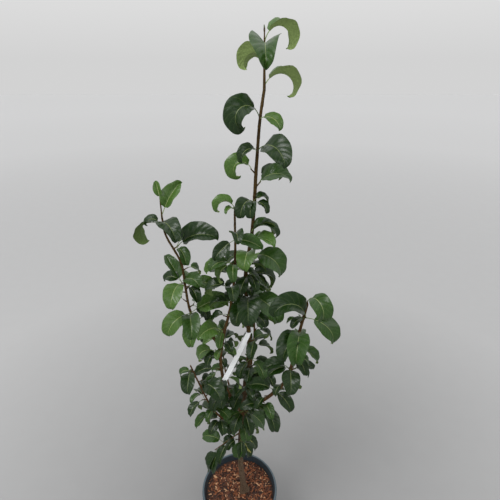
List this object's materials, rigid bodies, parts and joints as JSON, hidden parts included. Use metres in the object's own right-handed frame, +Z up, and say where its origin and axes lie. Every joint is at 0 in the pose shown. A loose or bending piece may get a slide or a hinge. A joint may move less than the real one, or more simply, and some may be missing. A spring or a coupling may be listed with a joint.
{
  "type": "potted pear tree",
  "caption": "Young pear tree with a slim leader, upright side boughs and glossy curled leaves in a round tapered nursery pot filled with bark mulch.",
  "frame": {"origin": "centre of the pot's flat underside", "axes": "+Z up along the tree, +X to the right as seen from the front, -Y towards the front"},
  "size_m": [0.5118, 0.3879, 1.7588],
  "materials": {
    "foliage": "glossy green leaves",
    "bark": "grey brown bark",
    "young_bark": "smooth reddish brown bark",
    "ground": "loose bark mulch",
    "pot": "satin dark slate",
    "tag": "blank white strip"
  },
  "bodies": {
    "root": {"ground": "ground", "pot": "pot", "trunk": "bark", "left_bough": "young_bark", "far_left_bough": "young_bark", "low_left_bough": "young_bark", "right_bough": "young_bark", "back_bough": "young_bark", "low_back_bough": "young_bark", "blank_tag": "tag", "leader_tip": "foliage", "leader_high": "foliage", "leader_upper": "foliage", "leader_middle": "foliage", "leader_lower": "foliage", "leader_ring": "foliage", "leader_crook": "foliage", "leader_bright": "foliage", "leader_bend": "foliage", "leader_heart": "foliage", "leader_breast": "foliage", "leader_back": "foliage", "leader_waist": "foliage", "leader_hip": "foliage", "fork_front": "foliage", "fork_back": "foliage", "collar_front": "foliage", "skirt_left": "foliage", "skirt_front": "foliage", "skirt_back": "foliage", "left_tip": "foliage", "left_high": "foliage", "left_upper": "foliage", "left_middle": "foliage", "left_lower": "foliage", "left_fork": "foliage", "left_low": "foliage", "left_base": "foliage", "left_foot": "foliage", "far_left_top": "foliage", "far_left_high": "foliage", "far_left_node": "foliage", "far_left_middle": "foliage", "far_left_light": "foliage", "far_left_low": "foliage", "low_left_top": "foliage", "low_left_high": "foliage", "low_left_middle": "foliage", "low_left_low": "foliage", "right_tip": "foliage", "right_high": "foliage", "right_middle": "foliage", "right_rear": "foliage", "right_lower": "foliage", "right_bend": "foliage", "right_foot": "foliage", "back_tip": "foliage", "back_high": "foliage", "back_low": "foliage", "low_back_tip": "foliage"}
  },
  "joints": []
}
